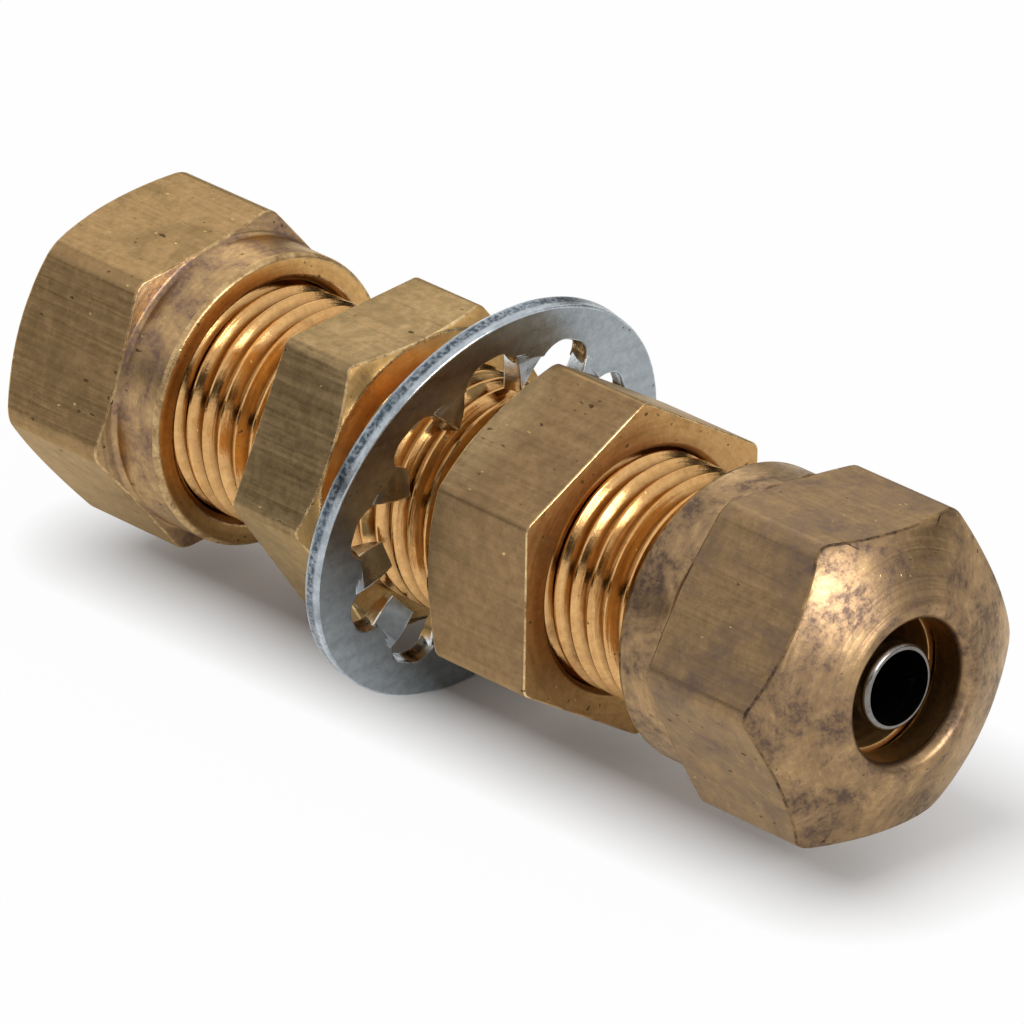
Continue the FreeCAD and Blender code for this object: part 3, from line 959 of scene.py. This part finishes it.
@dataclass
class UnionBody(SubAssembly):
    """The body: hexagon, two threaded shanks, tube sockets and the bore between them."""

    flats: float = 13.8
    phase: float = 35.0
    corner: float = 0.3
    hex_start: float = -4.8
    left_end: float = -16.25
    right_end: float = 24.65
    thread_radius: float = 5.555
    thread_depth: float = 0.5
    crest_share: float = 0.15
    root_share: float = 0.2
    pitch: float = 1.0583
    thread_shift: float = -0.35
    chamfer: float = 0.54
    mouth_radius: float = 4.705
    mouth_depth: float = 2.52
    socket_radius: float = 3.25
    socket_depth: float = 8.0
    flow_radius: float = 2.08
    lead_turns: int = 2
    envelope_core: float = 1.0
    bore_core: float = 0.2
    hex_core: float = 3.6
    flare: float = 0.5
    steps: int = TURN_STEPS
    edge: float = 0.08
    sharp: float = 24.0
    smooth: float = 22.0

    def thread_outline(self) -> list[Point]:
        """Outline of one pitch of the thread.

        Returns:
            The points from root to root.
        """
        crest = self.thread_radius
        root = crest - self.thread_depth
        land = self.crest_share / 2.0
        foot = self.root_share / 2.0
        shares = [
            (0.0, root), (foot, root), (0.5 - land, crest - SKIM), (0.5, crest),
            (0.5 + land, crest - SKIM), (1.0 - foot, root), (1.0, root),
        ]
        return [(share * self.pitch, radius) for share, radius in shares]

    def threaded_rod(self) -> Object:
        """Screw the thread along the whole length of the body and cut it off at both ends.

        Returns:
            The rod.
        """
        rod = Bench.trace(self.thread_outline())
        turns = math.ceil((self.right_end - self.left_end) / self.pitch) + self.lead_turns + 1
        Bench.apply(
            rod, "SCREW", axis="X", screw_offset=self.pitch, iterations=turns, steps=self.steps,
            render_steps=self.steps,
        )
        Bench.edit(rod)
        bpy.ops.mesh.remove_doubles(threshold=WELD)
        start = self.left_end - self.lead_turns * self.pitch + self.thread_shift
        bpy.ops.transform.translate(value=(start, 0.0, 0.0))
        for station, low in ((self.left_end, True), (self.right_end, False)):
            bpy.ops.mesh.select_all(action="SELECT")
            bpy.ops.mesh.bisect(
                plane_co=(station, 0.0, 0.0), plane_no=(1.0, 0.0, 0.0), use_fill=True,
                clear_inner=low, clear_outer=not low, threshold=CUT_REACH,
            )
        Bench.close_up()
        return rod

    def both_ends(self, half: list[Point]) -> list[Point]:
        """Outline of what is alike at both ends, from one end's depths and radii."""
        left = [(self.left_end + depth, radius) for depth, radius in half]
        return left + [(self.right_end - depth, radius) for depth, radius in reversed(half)]

    def end_envelope(self) -> Object:
        """Turn the space inside the chamfered shank ends.

        Returns:
            The space as a solid.
        """
        return Bench.turn(self.both_ends([
            (0.0, self.envelope_core), (0.0, self.thread_radius - self.chamfer),
            (self.chamfer, self.thread_radius + SKIM),
        ]), self.steps)

    def bore(self) -> Object:
        """Turn the hollow: two mouths, two sockets and the flow bore.

        Returns:
            The hollow as a solid.
        """
        rim = self.mouth_radius + self.flare
        slope = (self.mouth_radius - self.socket_radius) / self.mouth_depth
        over = self.flare / slope
        return Bench.turn(self.both_ends([
            (-over, self.bore_core), (-over, rim), (self.mouth_depth, self.socket_radius),
            (self.socket_depth, self.socket_radius), (self.socket_depth, self.flow_radius),
        ]), self.steps)

    def hexagon(self) -> Object:
        """Cut the hexagon, bevelled on the panel side.

        Returns:
            The hexagon.
        """
        outer = blank_radius(self.flats)
        blank = Bench.turn([
            (self.hex_start, self.hex_core), (self.hex_start, outer),
            (-bevel_run(self.flats), outer), (0.0, self.flats / 2.0 - SKIM), (0.0, self.hex_core),
        ], self.steps)
        bar = Bench.hexagon_bar(self.flats, self.phase, self.corner)
        Bench.combine(blank, bar, Cut.KEEP_COMMON)
        return blank

    def build(self, effects: Effects) -> Object:
        """Model and dress the body.

        Args:
            effects: The shared node groups.

        Returns:
            The finished piece.
        """
        materials = make_all(effects, UNION_FLAT, UNION_FACE, EDGE_BRASS, INSIDE_BRASS_PAINTED_FILL, THREAD)
        hexagon = self.hexagon()
        rod = self.threaded_rod()
        Bench.combine(rod, self.end_envelope(), Cut.KEEP_COMMON)
        bore = self.bore()
        Bench.dress(hexagon, materials, hexagon_surface)
        Bench.dress(rod, materials, Facing.THREAD)
        Bench.dress(bore, materials, Facing.INSIDE)
        Bench.ease_edges(hexagon, self.edge, self.sharp, Facing.EDGE.value)
        Bench.combine(rod, hexagon, Cut.JOIN)
        Bench.combine(rod, bore, Cut.TAKE_OFF)
        Bench.edit(rod)
        bpy.ops.mesh.remove_doubles(threshold=CLEAN_UP)
        bpy.ops.mesh.dissolve_degenerate(threshold=CLEAN_UP)
        Bench.close_up()
        return Bench.finish(rod, "union_body_brass", self.smooth)


@dataclass
class CompressionNut(SubAssembly):
    """A domed compression nut with its skirt, hexagon, conical nose and rounded lip."""

    side: Side
    station: float
    phase: float
    finishes: tuple[MetalFinish, MetalFinish, MetalFinish]
    flats: float = 14.28
    corner: float = 0.55
    skirt_radius: float = 7.0
    skirt_length: float = 2.85
    shoulder_end: float = 3.22
    foot: float = 0.3
    rim: float = 0.3
    nose_start: float = 8.725
    nose_angle: float = 60.5
    nose_crown: float = 0.2
    lip_station: float = 10.71
    lip: float = 0.6
    throat_radius: float = 3.3
    throat_end: float = 9.345
    bore_radius: float = NUT_BORE
    bore_end: float = 6.99
    countersink: float = 0.3
    steps: int = NUT_STEPS
    edge: float = 0.09
    sharp: float = 24.0
    smooth: float = 32.0

    def outline(self) -> list[Point]:
        """Outline of the turned blank in section.

        Returns:
            The points, from the mouth over the outside to the bore.
        """
        outer = blank_radius(self.flats)
        skirt = self.skirt_radius
        slope = math.atan2(outer - skirt, self.shoulder_end - self.skirt_length)
        reach = self.foot * math.tan(slope / 2.0)
        foot_centre = (self.skirt_length - reach, skirt + self.foot)
        lip_centre = (self.lip_station, self.throat_radius + self.lip)
        lip = arc(lip_centre, self.lip, 90.0 - self.nose_angle, -90.0, steps=12)
        nose_start = (self.nose_start, outer)
        points = [(0.0, self.bore_radius + self.countersink)]
        points += arc((self.rim, skirt - self.rim), self.rim, 180.0, 90.0, steps=6)
        points += arc(foot_centre, self.foot, -90.0, math.degrees(slope) - 90.0, steps=5)
        points += [(self.shoulder_end, outer), nose_start]
        points += crowned(nose_start, lip[0], self.nose_crown, steps=8)
        points += lip
        points += [
            (self.throat_end, self.throat_radius),
            (self.bore_end, self.bore_radius),
            (self.countersink, self.bore_radius),
        ]
        return points

    def surface(self, facet: Facet) -> Facing:
        """Name a face's surface: drawn flats, a worn rim, a bright inside lightened by painted
        fill light, and the rest turned.

        Args:
            facet: The face.

        Returns:
            Its surface.
        """
        on_lip = facet.station > self.lip_station - SKIM
        on_end = facet.station < SKIM
        if (facet.outward < -LEVEL and not on_lip) or on_end:
            return Facing.INSIDE
        if facet.station < self.rim:
            return Facing.EDGE
        if abs(facet.along) < LEVEL and facet.station > self.skirt_length:
            return Facing.FLAT
        return Facing.TURNED

    def build(self, effects: Effects) -> Object:
        """Model and dress the nut.

        Args:
            effects: The shared node groups.

        Returns:
            The finished piece.
        """
        nut = Bench.turn(self.outline(), self.steps)
        phase = self.phase if self.side is Side.RIGHT else -self.phase
        bar = Bench.hexagon_bar(self.flats, phase, self.corner)
        Bench.combine(nut, bar, Cut.KEEP_COMMON)
        Bench.dress(nut, make_all(effects, *self.finishes, INSIDE_BRASS_PAINTED_FILL), self.surface)
        Bench.ease_edges(nut, self.edge, self.sharp, Facing.EDGE.value)
        self.side.place(nut, self.station)
        return Bench.finish(nut, self.side.title("nut", "brass"), self.smooth, evened=True)


@dataclass
class Locknut(SubAssembly):
    """The hexagon locknut, bevelled towards the washer and countersunk on both sides."""

    station: float = 7.15
    thickness: float = 6.4
    flats: float = 14.0
    phase: float = 58.8
    corner: float = 0.3
    bore_radius: float = NUT_BORE
    countersink: float = 0.22
    steps: int = NUT_STEPS
    edge: float = 0.075
    sharp: float = 20.0
    smooth: float = 32.0

    def surface(self, facet: Facet) -> Facing:
        """Name the surface of a face: a bright bore, lightened by painted fill light, in a
        hexagon.
        """
        return Facing.INSIDE if facet.outward < -END_LEAN else hexagon_surface(facet)

    def mouth_surface(self, facet: Facet) -> Facing | None:
        """Let the edges of the countersinks look like the ends."""
        in_mouth = facet.radius < self.bore_radius + self.countersink + 2.0 * self.edge
        return Facing.TURNED if in_mouth else None

    def build(self, effects: Effects) -> Object:
        """Model and dress the locknut.

        Args:
            effects: The shared node groups.

        Returns:
            The finished piece.
        """
        outer = blank_radius(self.flats)
        sink = self.countersink
        nut = Bench.turn([
            (0.0, self.bore_radius + sink), (0.0, self.flats / 2.0 - SKIM),
            (bevel_run(self.flats), outer), (self.thickness, outer),
            (self.thickness, self.bore_radius + sink),
            (self.thickness - sink, self.bore_radius), (sink, self.bore_radius),
        ], self.steps)
        bar = Bench.hexagon_bar(self.flats, self.phase, self.corner)
        Bench.combine(nut, bar, Cut.KEEP_COMMON)
        materials = make_all(effects, LOCKNUT_FLAT, LOCKNUT_FACE, EDGE_BRASS, INSIDE_BRASS_PAINTED_FILL)
        Bench.dress(nut, materials, self.surface)
        Bench.ease_edges(nut, self.edge, self.sharp, Facing.EDGE.value)
        Bench.paint(nut, self.mouth_surface)
        Bench.lay_down(nut, shift=(self.station, 0.0, 0.0))
        return Bench.finish(nut, "locknut_brass", self.smooth)


@dataclass
class LockWasher(SubAssembly):
    """The lock washer: a stamped ring with twisted teeth inside."""

    station: float = WASHER_STATION
    tilt: float = WASHER_TILT
    phase: float = 28.5
    thickness: float = 0.9
    rim_radius: float = 10.095
    root_radius: float = 8.345
    land_radius: float = 7.445
    tip_radius: float = 5.895
    slot_width: float = 2.8
    slot_corner: float = 1.1
    tooth_root: float = 2.1
    tooth_tip: float = 1.25
    tooth_thickness: float = 0.88
    twist: float = 38.0
    teeth: int = 10
    steps: int = 160
    corner_steps: int = 14
    twist_steps: int = 8
    edge: float = 0.1
    tooth_edge: float = 0.07
    sharp: float = 40.0
    tooth_sharp: float = 50.0
    smooth: float = 9.0
    ring_lean: float = 0.9
    tooth_lean: float = 0.62

    @staticmethod
    def block(size: Triple, middle: Triple) -> Object:
        """A plain block to start a cutter or a tooth from.

        Args:
            size: Its three widths.
            middle: Its middle.

        Returns:
            The block.
        """
        block = Bench.start(bpy.ops.mesh.primitive_cube_add, size=1.0, location=middle)
        block.scale = size
        bpy.ops.object.transform_apply(location=True, rotation=True, scale=True)
        return block

    def ring(self) -> Object:
        """Turn the plain ring and cut its slots.

        Returns:
            The ring.
        """
        half = self.thickness / 2.0
        ring = Bench.turn([
            (-half, self.land_radius), (-half, self.rim_radius), (half, self.rim_radius),
            (half, self.land_radius),
        ], self.steps)
        Bench.combine(ring, self.slots(), Cut.TAKE_OFF)
        return ring

    def slots(self) -> Object:
        """Cutters for all the slots, with rounded outer corners.

        Returns:
            The cutters as one object.
        """
        depth = self.root_radius - self.tip_radius
        middle = self.root_radius - depth / 2.0

        def is_outer_corner(start: Vector, end: Vector) -> bool:
            """Whether an edge is an outer corner of the slot."""
            return abs(start.x - end.x) > self.thickness and min(start.z, end.z) > middle

        size = (4.0 * self.thickness, self.slot_width, depth)
        cutter = self.block(size, (0.0, 0.0, middle))
        Bench.edit_edges(cutter, is_outer_corner)
        bpy.ops.mesh.bevel(offset=self.slot_corner, segments=self.corner_steps, affect="EDGES")
        bpy.ops.object.mode_set(mode="OBJECT")
        return self.round_copies(cutter, 180.0 / self.teeth)

    def tooth(self) -> Object:
        """Shape one twisted, tapered tooth.

        Returns:
            The tooth, above the axis.
        """
        root = (self.root_radius + self.land_radius) / 2.0
        length = root - self.tip_radius

        def is_tip(start: Vector, end: Vector) -> bool:
            """Whether an edge bounds the tooth's tip."""
            return max(start.z, end.z) < -0.5 * length

        def is_side(start: Vector, end: Vector) -> bool:
            """Whether an edge runs from root to tip."""
            return abs(start.z - end.z) > 0.5 * length

        size = (self.tooth_thickness, self.tooth_root, length)
        tooth = self.block(size, (0.0, 0.0, -length / 2.0))
        Bench.edit_edges(tooth, is_tip)
        bpy.ops.transform.resize(value=(1.0, self.tooth_tip / self.tooth_root, 1.0))
        Bench.edit_edges(tooth, is_side)
        bpy.ops.mesh.subdivide(number_cuts=self.twist_steps)
        bpy.ops.object.mode_set(mode="OBJECT")
        Bench.apply(
            tooth, "SIMPLE_DEFORM", deform_method="TWIST", deform_axis="Z",
            angle=math.radians(-self.twist),
        )
        Bench.lay_down(tooth, shift=(0.0, 0.0, root))
        return tooth

    def round_copies(self, piece: Object, start: float) -> Object:
        """Copy a piece round the axis, one for each tooth, and join the copies.

        Args:
            piece: The first piece, above the axis.
            start: Turn of the first copy, in degrees.

        Returns:
            All the copies as one object.
        """
        copies = []
        for step in range(self.teeth):
            Bench.pick(piece)
            bpy.ops.object.duplicate()
            copy = bpy.context.object
            turn = math.radians(start + 360.0 * step / self.teeth)
            Bench.lay_down(copy, (turn, 0.0, 0.0))
            copies.append(copy)
        bpy.data.objects.remove(piece, do_unlink=True)
        bpy.ops.object.select_all(action="DESELECT")
        for copy in copies:
            copy.select_set(True)
        bpy.context.view_layer.objects.active = copies[0]
        bpy.ops.object.join()
        return bpy.context.object

    def ring_surface(self, facet: Facet) -> Facing:
        """Tell the sheet's two faces from its cut edges."""
        return Facing.FLAT if abs(facet.along) > self.ring_lean else Facing.TURNED

    def tooth_surface(self, facet: Facet) -> Facing:
        """Tell the sheet's two faces from the sides of the teeth, which carry a painted highlight.
        """
        return Facing.FLAT if abs(facet.along) > self.tooth_lean else Facing.EDGE

    def build(self, effects: Effects) -> Object:
        """Model and dress the washer.

        Args:
            effects: The shared node groups.

        Returns:
            The finished piece.
        """
        materials = make_all(effects, WASHER_ZINC, WASHER_EDGE, TOOTH_SIDE_PAINTED_HIGHLIGHT)
        ring = self.ring()
        teeth = self.round_copies(self.tooth(), 0.0)
        Bench.dress(ring, materials, self.ring_surface)
        Bench.dress(teeth, materials, self.tooth_surface)
        Bench.ease_edges(ring, self.edge, self.sharp, Facing.TURNED.value)
        Bench.ease_edges(teeth, self.tooth_edge, self.tooth_sharp, Facing.EDGE.value)
        Bench.combine(ring, teeth, Cut.JOIN)
        Bench.lay_down(ring, (math.radians(self.phase), 0.0, 0.0))
        Bench.lay_down(ring, (0.0, math.radians(self.tilt), 0.0), (self.station, 0.0, 0.0))
        return Bench.finish(ring, "lock_washer_steel", self.smooth, evened=True)


@dataclass
class Sleeve(SubAssembly):
    """A compression sleeve, tapered at both ends."""

    side: Side
    station: float
    length: float = 4.455
    bore_radius: float = 3.25
    tip_radius: float = 3.55
    outer_radius: float = 4.45
    inner_taper: float = 1.559
    outer_taper: float = 0.9
    edge: float = 0.05
    sharp: float = 20.0
    smooth: float = 30.0

    def build(self, effects: Effects) -> Object:
        """Model and dress the sleeve.

        Args:
            effects: The shared node groups.

        Returns:
            The finished piece.
        """
        sleeve = Bench.turn([
            (0.0, self.bore_radius), (0.0, self.tip_radius),
            (self.inner_taper, self.outer_radius),
            (self.length - self.outer_taper, self.outer_radius),
            (self.length, self.tip_radius), (self.length, self.bore_radius),
        ], TURN_STEPS)
        Bench.ease_edges(sleeve, self.edge, self.sharp)
        Bench.dress(sleeve, make_all(effects, SLEEVE_BRASS_PAINTED_FILL))
        self.side.place(sleeve, self.station)
        return Bench.finish(sleeve, self.side.title("sleeve", "brass"), self.smooth)


@dataclass
class TubeSupport(SubAssembly):
    """A thin steel tube with a flange and a well rounded outer end."""

    side: Side
    station: float
    outer_radius: float = 2.05
    wall: float = 0.3
    flange_radius: float = 3.15
    flange: float = 0.5
    spigot: float = 3.0
    reach: float = 13.17
    brow: float = 0.27
    smooth: float = 40.0

    def build(self, effects: Effects) -> Object:
        """Model and dress the tube support.

        Args:
            effects: The shared node groups.

        Returns:
            The finished piece.
        """
        inner = self.outer_radius - self.wall
        end = (self.reach - self.brow, self.outer_radius - self.brow)
        outline = [
            (-self.spigot, inner), (-self.spigot, self.outer_radius), (0.0, self.outer_radius),
            (0.0, self.flange_radius), (self.flange, self.flange_radius),
            (self.flange, self.outer_radius),
        ]
        outline += arc(end, self.brow, 90.0, 0.0, steps=8) + [(self.reach, inner)]
        tube = Bench.turn(outline, TURN_STEPS)
        Bench.dress(tube, make_all(effects, SUPPORT_STEEL))
        self.side.place(tube, self.station)
        return Bench.finish(tube, self.side.title("support", "steel"), self.smooth)


@dataclass(frozen=True)
class Softbox:
    """A round lamp that looks at the fitting."""

    name: str
    place: Triple
    size: float
    power: float

    def hang(self) -> None:
        """Put the lamp in the studio."""
        lamp = bpy.data.lights.new(self.name, "AREA")
        lamp.shape = "DISK"
        lamp.size = self.size
        lamp.energy = self.power
        holder = bpy.data.objects.new(self.name, lamp)
        bpy.context.scene.collection.objects.link(holder)
        holder.location = self.place
        holder.rotation_euler = (-Vector(self.place)).to_track_quat("-Z", "Y").to_euler()


PAPER: Colour = (0.86, 0.86, 0.86, 1.0)
# Colour of the painted shadow laid into the paper under the body
PAINTED_SHADOW: Colour = (0.12, 0.09, 0.06, 1.0)
WALL_DARK: Colour = (0.045, 0.04, 0.032, 1.0)


@dataclass
class Studio:
    """Floor, dark wall, lamps, surroundings and camera, with their sizes in metres."""

    floor_level: float = -0.00996
    floor_size: float = 12.0
    shadow_middle: Point = (0.0042, 0.004)
    shadow_half: Point = (0.023, 0.004)
    shadow_fade: Point = (0.0005, 0.007)
    clear_share: float = 0.97
    # Painted shadow: a dark patch in the paper's colour under the body, deepening the contact
    # shade
    painted_shadow_middle: Point = (-0.0035, 0.002)
    painted_shadow_half: Point = (0.001, 0.001)
    painted_shadow_fade: float = 0.009
    painted_shadow_share: float = 0.7
    room_light: float = 0.75
    wall_radius: float = 1.5
    wall_foot: float = 0.12
    wall_height: float = 0.36
    wall_sides: int = 64
    camera_place: Triple = (0.387446, -0.353060, 0.243055)
    azimuth: float = 47.28
    elevation: float = 25.041
    lens: float = 453.09
    sensor: float = 36.0
    sight: Point = (0.01, 50.0)
    lamps: list[Softbox] = field(default_factory=lambda: [
        Softbox("key_softbox", (0.52, 0.05, 0.18), size=0.24, power=1.5),
        Softbox("top_softbox", (-0.40, 0.33, 0.31), size=0.30, power=0.16),
    ])

    @staticmethod
    def background_share(canvas: Canvas) -> NodeSocket:
        """Share of rays that see the white background: seen straight, in gloss or through glass.

        Args:
            canvas: The tree.

        Returns:
            The share.
        """
        path = canvas.add("ShaderNodeLightPath").outputs
        gloss = canvas.math("MAXIMUM", path["Is Glossy Ray"], path["Is Transmission Ray"])
        return canvas.math("MAXIMUM", path["Is Camera Ray"], gloss)

    @staticmethod
    def outside(canvas: Canvas, parts: Any, middle: Point, half: Point) -> NodeSocket:
        """Distance from a rectangle on the floor, nothing inside it.

        Args:
            canvas: The tree.
            parts: The place's coordinates.
            middle: Middle of the rectangle.
            half: Half of its two widths.

        Returns:
            The distance.
        """
        gaps = {}
        for axis in (0, 1):
            past = canvas.math("ABSOLUTE", canvas.math("SUBTRACT", parts[axis], middle[axis]))
            gaps[axis] = canvas.math("MAXIMUM", canvas.math("SUBTRACT", past, half[axis]), 0.0)
        off = canvas.add("ShaderNodeCombineXYZ", gaps).outputs[0]
        return canvas.vector("LENGTH", off)[1]

    def floor(self) -> None:
        """Lay the pale floor, white further off and in true shadow under the fitting, with a
        painted shadow darkening the paper under the body.
        """
        floor = Bench.start(
            bpy.ops.mesh.primitive_plane_add, size=self.floor_size,
            location=(0.0, 0.0, self.floor_level),
        )
        floor.name = "studio_floor"
        material, canvas = Canvas.of_material("floor_white")
        place = canvas.add("ShaderNodeTexCoord").outputs["Object"]
        parts = canvas.add("ShaderNodeSeparateXYZ", {0: place}).outputs
        away = self.outside(canvas, parts, self.shadow_middle, self.shadow_half)
        clear = canvas.spread(away, self.shadow_fade, (0.0, self.clear_share))
        share = canvas.math("MULTIPLY", self.background_share(canvas), clear)
        # Painted shadow: the share named soil darkens the paper towards the zone under the body
        painted_shadow_gap = self.outside(canvas, parts, self.painted_shadow_middle, self.painted_shadow_half)
        soil = canvas.spread(painted_shadow_gap, (0.0, self.painted_shadow_fade), (self.painted_shadow_share, 0.0))
        shade = canvas.blend(soil, PAPER, PAINTED_SHADOW)
        paper = canvas.add("ShaderNodeBsdfDiffuse", {"Color": shade})
        glow = canvas.add("ShaderNodeEmission", {"Color": WHITE, "Strength": 1.0})
        canvas.show(canvas.add(
            "ShaderNodeMixShader", {0: share, 1: paper.outputs[0], 2: glow.outputs[0]}))
        floor.data.materials.append(material)

    def wall(self) -> None:
        """Hang a low dark wall round the floor, which the camera does not see."""
        middle = self.wall_foot + self.wall_height / 2.0
        wall = Bench.start(
            bpy.ops.mesh.primitive_cylinder_add, vertices=self.wall_sides,
            radius=self.wall_radius, depth=self.wall_height, end_fill_type="NOTHING",
            location=(0.0, 0.0, middle),
        )
        wall.name = "studio_wall"
        wall.visible_camera = False
        wall.visible_shadow = False
        material, canvas = Canvas.of_material("wall_dark")
        canvas.show(canvas.add("ShaderNodeBsdfDiffuse", {"Color": WALL_DARK}))
        wall.data.materials.append(material)

    def surroundings(self) -> None:
        """Fill the room with soft white light."""
        world = bpy.data.worlds.new("studio_room")
        bpy.context.scene.world = world
        world.use_nodes = True
        canvas = Canvas(world.node_tree)
        room = canvas.add("ShaderNodeBackground", {"Color": WHITE, "Strength": self.room_light})
        back = canvas.add("ShaderNodeBackground", {"Color": WHITE, "Strength": 1.0})
        share = self.background_share(canvas)
        mix = canvas.add("ShaderNodeMixShader", {0: share, 1: room.outputs[0], 2: back.outputs[0]})
        canvas.show(mix, "ShaderNodeOutputWorld")

    def camera(self) -> None:
        """Set the camera where the photograph was taken from."""
        camera = bpy.data.cameras.new("photo_camera")
        camera.lens = self.lens
        camera.sensor_width = self.sensor
        camera.clip_start, camera.clip_end = self.sight
        holder = bpy.data.objects.new("photo_camera", camera)
        bpy.context.scene.collection.objects.link(holder)
        holder.location = self.camera_place
        tip = math.radians(90.0 - self.elevation)
        holder.rotation_euler = (tip, 0.0, math.radians(self.azimuth))
        bpy.context.scene.camera = holder

    def build(self) -> None:
        """Set up the whole studio."""
        self.floor()
        self.wall()
        self.surroundings()
        for lamp in self.lamps:
            lamp.hang()
        self.camera()
        bpy.context.scene.view_settings.view_transform = "Standard"


@dataclass(frozen=True)
class Seat:
    """Where a piece belongs in the shared frame."""

    maker: SubAssembly
    body: str
    node: str
    slot: str

    def fill(self, effects: Effects) -> Object:
        """Build the piece and put it on its body in place of the plain solid.

        Args:
            effects: The shared node groups.

        Returns:
            The piece.
        """
        piece = self.maker.build(effects)
        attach(piece, self.body)
        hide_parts(self.node)
        return piece


def main() -> None:
    """Build every piece, put it on its body and set up the studio."""
    logging.basicConfig(level=logging.INFO, format="%(name)s: %(message)s")
    effects = Effects()
    right_nut = CompressionNut(
        Side.RIGHT, station=19.35, phase=25.7,
        finishes=(NUT_FLAT_RIGHT, NUT_TURNED_RIGHT, NUT_EDGE_RIGHT),
    )
    left_nut = CompressionNut(
        Side.LEFT, station=-10.95, phase=40.0,
        finishes=(NUT_FLAT_LEFT, NUT_TURNED_LEFT, NUT_EDGE_LEFT),
    )
    right_sleeve = Sleeve(Side.RIGHT, station=23.85)
    left_sleeve = Sleeve(Side.LEFT, station=-15.45)
    right_support = TubeSupport(Side.RIGHT, station=16.65)
    left_support = TubeSupport(Side.LEFT, station=-8.25)
    seats = [
        Seat(UnionBody(), "union", "union_body", "union_brass"),
        Seat(right_nut, "right_nut", "nut_right", "nut_brass"),
        Seat(left_nut, "left_nut", "nut_left", "nut_brass"),
        Seat(right_sleeve, "right_sleeve", "sleeve_right", "sleeve_brass"),
        Seat(left_sleeve, "left_sleeve", "sleeve_left", "sleeve_brass"),
        Seat(right_support, "union", "support_right", "support_steel"),
        Seat(left_support, "union", "support_left", "support_steel"),
        Seat(Locknut(), "locknut", "locknut", "locknut_brass"),
        Seat(LockWasher(), "union", "lock_washer", "washer_steel"),
    ]
    for seat in seats:
        piece = seat.fill(effects)
        LOG.info("%s on %s: %d faces", piece.name, seat.body, len(piece.data.polygons))
    Studio().build()


if __name__ == "__main__":
    main()
